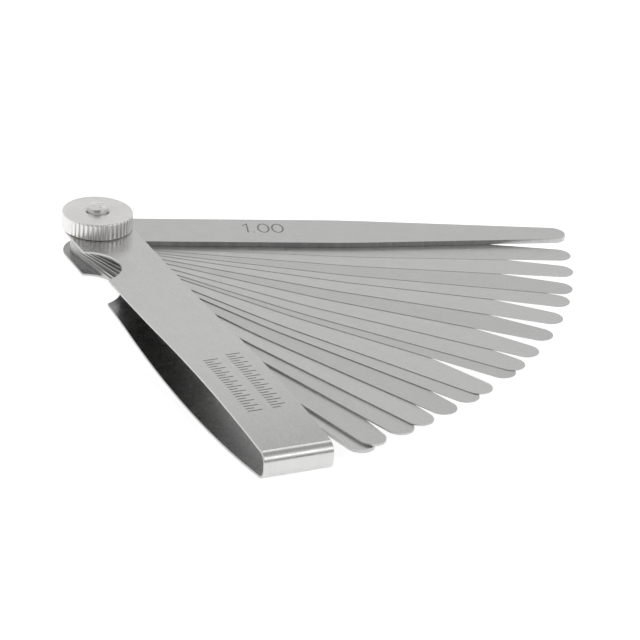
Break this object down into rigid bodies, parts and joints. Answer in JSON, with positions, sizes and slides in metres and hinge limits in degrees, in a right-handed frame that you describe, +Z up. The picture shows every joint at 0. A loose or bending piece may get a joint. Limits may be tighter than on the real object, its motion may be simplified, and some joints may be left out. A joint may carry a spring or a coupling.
{
  "type": "feeler gauge",
  "caption": "Fan of thin tapered steel blades of graded thickness, pivoting out of a folded sheet-metal holder and clamped by a knurled nut on a pivot screw.",
  "frame": {"origin": "centre of the flat underside of the pivot screw's head, on the pivot axis", "axes": "+Z up the pivot axis from the screw head to the knurled nut; +X along the holder from the pivot to its fold; +Y to the side on which the blades are fanned out"},
  "size_m": [0.1042, 0.0978, 0.013],
  "materials": {
    "blade_steel": "satin, ground along the blade, etched thickness number",
    "holder_steel": "satin stainless sheet, fine grain along the strip",
    "nut_metal": "turned and knurled, nickel plated",
    "screw_metal": "turned, end peened and bright"
  },
  "bodies": {
    "holder": {"holder": "holder_steel", "pivot_screw": "screw_metal"},
    "knurled_nut": {"knurled_nut": "nut_metal"},
    "blade_0_75": {"blade_0_75": "blade_steel"},
    "blade_0_50": {"blade_0_50": "blade_steel"},
    "blade_0_40": {"blade_0_40": "blade_steel"},
    "blade_0_30": {"blade_0_30": "blade_steel"},
    "blade_0_25": {"blade_0_25": "blade_steel"},
    "blade_0_20": {"blade_0_20": "blade_steel"},
    "blade_0_15": {"blade_0_15": "blade_steel"},
    "blade_0_10": {"blade_0_10": "blade_steel"},
    "blade_0_09": {"blade_0_09": "blade_steel"},
    "blade_0_08": {"blade_0_08": "blade_steel"},
    "blade_0_07": {"blade_0_07": "blade_steel"},
    "blade_0_06": {"blade_0_06": "blade_steel"},
    "blade_0_05": {"blade_0_05": "blade_steel"},
    "blade_0_04": {"blade_0_04": "blade_steel"},
    "blade_0_03": {"blade_0_03": "blade_steel"},
    "blade_0_02": {"blade_0_02": "blade_steel"},
    "blade_1_00": {"blade_1_00": "blade_steel"}
  },
  "joints": [
    {"name": "nut_turn", "type": "hinge", "parent": "holder", "child": "knurled_nut", "pos_m": [0, 0, 0.00688], "axis": [0, 0, 1], "range_deg": [0, 360]},
    {"name": "swing_0_75", "type": "hinge", "parent": "holder", "child": "blade_0_75", "pos_m": [0, 0, 0.0021], "axis": [0, 0, 1], "range_deg": [-9.3, 170.7]},
    {"name": "swing_0_50", "type": "hinge", "parent": "holder", "child": "blade_0_50", "pos_m": [0, 0, 0.0021], "axis": [0, 0, 1], "range_deg": [-10.8, 169.2]},
    {"name": "swing_0_40", "type": "hinge", "parent": "holder", "child": "blade_0_40", "pos_m": [0, 0, 0.0021], "axis": [0, 0, 1], "range_deg": [-14.8, 165.2]},
    {"name": "swing_0_30", "type": "hinge", "parent": "holder", "child": "blade_0_30", "pos_m": [0, 0, 0.0021], "axis": [0, 0, 1], "range_deg": [-17.8, 162.2]},
    {"name": "swing_0_25", "type": "hinge", "parent": "holder", "child": "blade_0_25", "pos_m": [0, 0, 0.0021], "axis": [0, 0, 1], "range_deg": [-21.6, 158.4]},
    {"name": "swing_0_20", "type": "hinge", "parent": "holder", "child": "blade_0_20", "pos_m": [0, 0, 0.0021], "axis": [0, 0, 1], "range_deg": [-25.6, 154.4]},
    {"name": "swing_0_15", "type": "hinge", "parent": "holder", "child": "blade_0_15", "pos_m": [0, 0, 0.0021], "axis": [0, 0, 1], "range_deg": [-28.2, 151.8]},
    {"name": "swing_0_10", "type": "hinge", "parent": "holder", "child": "blade_0_10", "pos_m": [0, 0, 0.0021], "axis": [0, 0, 1], "range_deg": [-33.3, 146.7]},
    {"name": "swing_0_09", "type": "hinge", "parent": "holder", "child": "blade_0_09", "pos_m": [0, 0, 0.0021], "axis": [0, 0, 1], "range_deg": [-35.6, 144.4]},
    {"name": "swing_0_08", "type": "hinge", "parent": "holder", "child": "blade_0_08", "pos_m": [0, 0, 0.0021], "axis": [0, 0, 1], "range_deg": [-39.6, 140.4]},
    {"name": "swing_0_07", "type": "hinge", "parent": "holder", "child": "blade_0_07", "pos_m": [0, 0, 0.0021], "axis": [0, 0, 1], "range_deg": [-44.5, 135.5]},
    {"name": "swing_0_06", "type": "hinge", "parent": "holder", "child": "blade_0_06", "pos_m": [0, 0, 0.0021], "axis": [0, 0, 1], "range_deg": [-49.3, 130.7]},
    {"name": "swing_0_05", "type": "hinge", "parent": "holder", "child": "blade_0_05", "pos_m": [0, 0, 0.0021], "axis": [0, 0, 1], "range_deg": [-54.2, 125.8]},
    {"name": "swing_0_04", "type": "hinge", "parent": "holder", "child": "blade_0_04", "pos_m": [0, 0, 0.0021], "axis": [0, 0, 1], "range_deg": [-57.8, 122.2]},
    {"name": "swing_0_03", "type": "hinge", "parent": "holder", "child": "blade_0_03", "pos_m": [0, 0, 0.0021], "axis": [0, 0, 1], "range_deg": [-62.7, 117.3]},
    {"name": "swing_0_02", "type": "hinge", "parent": "holder", "child": "blade_0_02", "pos_m": [0, 0, 0.0021], "axis": [0, 0, 1], "range_deg": [-67.4, 112.6]},
    {"name": "swing_1_00", "type": "hinge", "parent": "holder", "child": "blade_1_00", "pos_m": [0, 0, 0.0021], "axis": [0, 0, 1], "range_deg": [-72.5, 107.5]}
  ]
}
